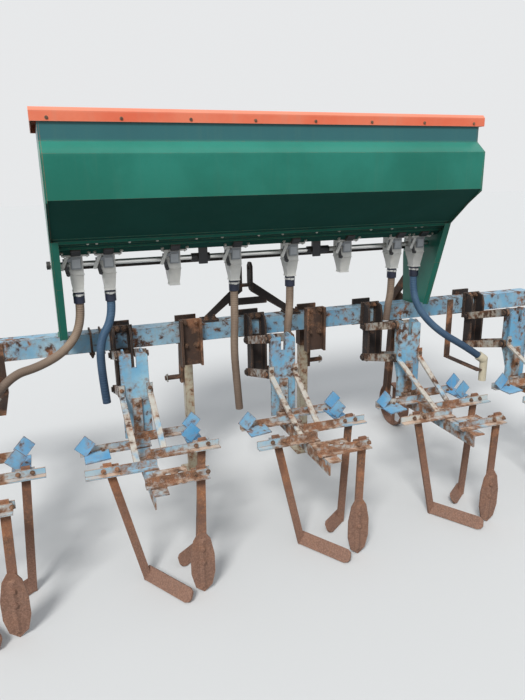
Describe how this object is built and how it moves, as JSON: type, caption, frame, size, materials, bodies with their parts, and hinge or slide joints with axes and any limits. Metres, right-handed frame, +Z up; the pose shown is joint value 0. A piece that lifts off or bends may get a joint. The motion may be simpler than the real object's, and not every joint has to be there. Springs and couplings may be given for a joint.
{
  "type": "row crop cultivator",
  "caption": "Mounted row crop cultivator: square toolbar with parallelogram hoe units, fertiliser hopper with metering outlets and hoses, three-point headstock.",
  "frame": {"origin": "on the floor under the middle of the machine's bounding box", "axes": "+X across the machine to its right, +Y the way it travels, +Z up"},
  "size_m": [4, 1.515, 2.02],
  "materials": {
    "frame_blue": "worn paint",
    "wing_blue": "worn paint",
    "hopper_green": "satin paint",
    "lid_orange": "faded paint",
    "dark_iron": "dark with rust",
    "rusty_iron": "rusty",
    "bright_steel": "bright",
    "pale_plastic": "translucent",
    "black_plastic": "matte",
    "navy_rubber": "matte",
    "beige_hose": "matte",
    "blue_hose": "satin",
    "cream_paint": "worn paint",
    "cream_plastic": "matte"
  },
  "bodies": {
    "frame": {"toolbar": "frame_blue", "headstock": "dark_iron", "hitch_brackets": "rusty_iron", "unit_clamps": "dark_iron", "hopper_end_left": "hopper_green", "hopper_end_right": "hopper_green", "hopper_rear_panel": "hopper_green", "hopper_front_panel": "hopper_green", "hopper_floor": "hopper_green", "lid_hinges": "hopper_green", "metering_housings": "pale_plastic", "outlet_gates": "black_plastic", "outlet_sleeves": "navy_rubber", "gate_bar": "dark_iron", "shaft_brackets": "dark_iron", "wheel_arm": "rusty_iron", "chain_case": "rusty_iron", "drop_boots": "cream_plastic", "boot_straps": "rusty_iron", "hose_far_left": "beige_hose", "hose_left": "blue_hose", "hose_centre_left": "beige_hose", "hose_centre_right": "beige_hose", "hose_right": "beige_hose", "hose_far_right": "blue_hose"},
    "lid": {"lid": "lid_orange"},
    "feed_shaft": {"feed_shaft": "bright_steel"},
    "land_wheel": {"land_wheel": "rusty_iron"},
    "stand_left": {"stand_left": "cream_paint"},
    "stand_right": {"stand_right": "cream_paint"},
    "far_left_upper": {"far_left_upper_links": "dark_iron"},
    "far_left_lower": {"far_left_lower_links": "dark_iron"},
    "far_left_tool_carrier": {"far_left_upright": "frame_blue", "far_left_tool_frame": "rusty_iron", "far_left_wing_plates": "wing_blue", "far_left_tools": "rusty_iron"},
    "left_upper": {"left_upper_links": "dark_iron"},
    "left_lower": {"left_lower_links": "dark_iron"},
    "left_tool_carrier": {"left_upright": "frame_blue", "left_tool_frame": "rusty_iron", "left_wing_plates": "wing_blue", "left_tools": "rusty_iron"},
    "centre_upper": {"centre_upper_links": "dark_iron"},
    "centre_lower": {"centre_lower_links": "dark_iron"},
    "centre_tool_carrier": {"centre_upright": "frame_blue", "centre_tool_frame": "rusty_iron", "centre_wing_plates": "wing_blue", "centre_tools": "rusty_iron"},
    "right_upper": {"right_upper_links": "dark_iron"},
    "right_lower": {"right_lower_links": "dark_iron"},
    "right_tool_carrier": {"right_upright": "frame_blue", "right_tool_frame": "rusty_iron", "right_wing_plates": "wing_blue", "right_tools": "rusty_iron"},
    "far_right_upper": {"far_right_upper_links": "dark_iron"},
    "far_right_lower": {"far_right_lower_links": "dark_iron"},
    "far_right_tool_carrier": {"far_right_upright": "frame_blue", "far_right_tool_frame": "rusty_iron", "far_right_wing_plates": "wing_blue", "far_right_tools": "rusty_iron"}
  },
  "joints": [
    {"name": "lid_hinge", "type": "hinge", "parent": "frame", "child": "lid", "pos_m": [0, 0.5765, 1.958], "axis": [-1, 0, 0], "range_deg": [0, 100]},
    {"name": "land_wheel_spin", "type": "hinge", "parent": "frame", "child": "land_wheel", "pos_m": [0, 0.6075, 0.15], "axis": [1, 0, 0], "continuous": true},
    {"name": "feed_shaft_turn", "type": "hinge", "parent": "frame", "child": "feed_shaft", "pos_m": [0, 0.1975, 1.335], "axis": [1, 0, 0], "continuous": true},
    {"name": "stand_left_slide", "type": "slide", "parent": "frame", "child": "stand_left", "axis": [0, 0, 1], "range_m": [0, 0.35]},
    {"name": "stand_right_slide", "type": "slide", "parent": "frame", "child": "stand_right", "axis": [0, 0, 1], "range_m": [0, 0.35]},
    {"name": "far_left_upper_swing", "type": "hinge", "parent": "frame", "child": "far_left_upper", "pos_m": [-1.5, 0.2595, 0.84], "axis": [1, 0, 0], "range_deg": [0, 35]},
    {"name": "far_left_lower_swing", "type": "hinge", "parent": "frame", "child": "far_left_lower", "pos_m": [-1.5, 0.2595, 0.65], "axis": [1, 0, 0], "range_deg": [0, 35]},
    {"name": "far_left_carrier_level", "type": "hinge", "parent": "far_left_upper", "child": "far_left_tool_carrier", "pos_m": [-1.5, -0.08051, 0.9311], "axis": [1, 0, 0], "range_deg": [-35, 0]},
    {"name": "left_upper_swing", "type": "hinge", "parent": "frame", "child": "left_upper", "pos_m": [-0.75, 0.2595, 0.84], "axis": [1, 0, 0], "range_deg": [0, 35]},
    {"name": "left_lower_swing", "type": "hinge", "parent": "frame", "child": "left_lower", "pos_m": [-0.75, 0.2595, 0.65], "axis": [1, 0, 0], "range_deg": [0, 35]},
    {"name": "left_carrier_level", "type": "hinge", "parent": "left_upper", "child": "left_tool_carrier", "pos_m": [-0.75, -0.08051, 0.9311], "axis": [1, 0, 0], "range_deg": [-35, 0]},
    {"name": "centre_upper_swing", "type": "hinge", "parent": "frame", "child": "centre_upper", "pos_m": [0, 0.2595, 0.84], "axis": [1, 0, 0], "range_deg": [0, 35]},
    {"name": "centre_lower_swing", "type": "hinge", "parent": "frame", "child": "centre_lower", "pos_m": [0, 0.2595, 0.65], "axis": [1, 0, 0], "range_deg": [0, 35]},
    {"name": "centre_carrier_level", "type": "hinge", "parent": "centre_upper", "child": "centre_tool_carrier", "pos_m": [0, -0.08051, 0.9311], "axis": [1, 0, 0], "range_deg": [-35, 0]},
    {"name": "right_upper_swing", "type": "hinge", "parent": "frame", "child": "right_upper", "pos_m": [0.75, 0.2595, 0.84], "axis": [1, 0, 0], "range_deg": [0, 35]},
    {"name": "right_lower_swing", "type": "hinge", "parent": "frame", "child": "right_lower", "pos_m": [0.75, 0.2595, 0.65], "axis": [1, 0, 0], "range_deg": [0, 35]},
    {"name": "right_carrier_level", "type": "hinge", "parent": "right_upper", "child": "right_tool_carrier", "pos_m": [0.75, -0.08051, 0.9311], "axis": [1, 0, 0], "range_deg": [-35, 0]},
    {"name": "far_right_upper_swing", "type": "hinge", "parent": "frame", "child": "far_right_upper", "pos_m": [1.5, 0.2595, 0.84], "axis": [1, 0, 0], "range_deg": [0, 35]},
    {"name": "far_right_lower_swing", "type": "hinge", "parent": "frame", "child": "far_right_lower", "pos_m": [1.5, 0.2595, 0.65], "axis": [1, 0, 0], "range_deg": [0, 35]},
    {"name": "far_right_carrier_level", "type": "hinge", "parent": "far_right_upper", "child": "far_right_tool_carrier", "pos_m": [1.5, -0.08051, 0.9311], "axis": [1, 0, 0], "range_deg": [-35, 0]}
  ],
  "couplings": [
    {"joint": "feed_shaft_turn", "follows": "land_wheel_spin", "ratio": 1},
    {"joint": "far_left_lower_swing", "follows": "far_left_upper_swing", "ratio": 1},
    {"joint": "far_left_carrier_level", "follows": "far_left_upper_swing", "ratio": -1},
    {"joint": "left_lower_swing", "follows": "left_upper_swing", "ratio": 1},
    {"joint": "left_carrier_level", "follows": "left_upper_swing", "ratio": -1},
    {"joint": "centre_lower_swing", "follows": "centre_upper_swing", "ratio": 1},
    {"joint": "centre_carrier_level", "follows": "centre_upper_swing", "ratio": -1},
    {"joint": "right_lower_swing", "follows": "right_upper_swing", "ratio": 1},
    {"joint": "right_carrier_level", "follows": "right_upper_swing", "ratio": -1},
    {"joint": "far_right_lower_swing", "follows": "far_right_upper_swing", "ratio": 1},
    {"joint": "far_right_carrier_level", "follows": "far_right_upper_swing", "ratio": -1}
  ]
}
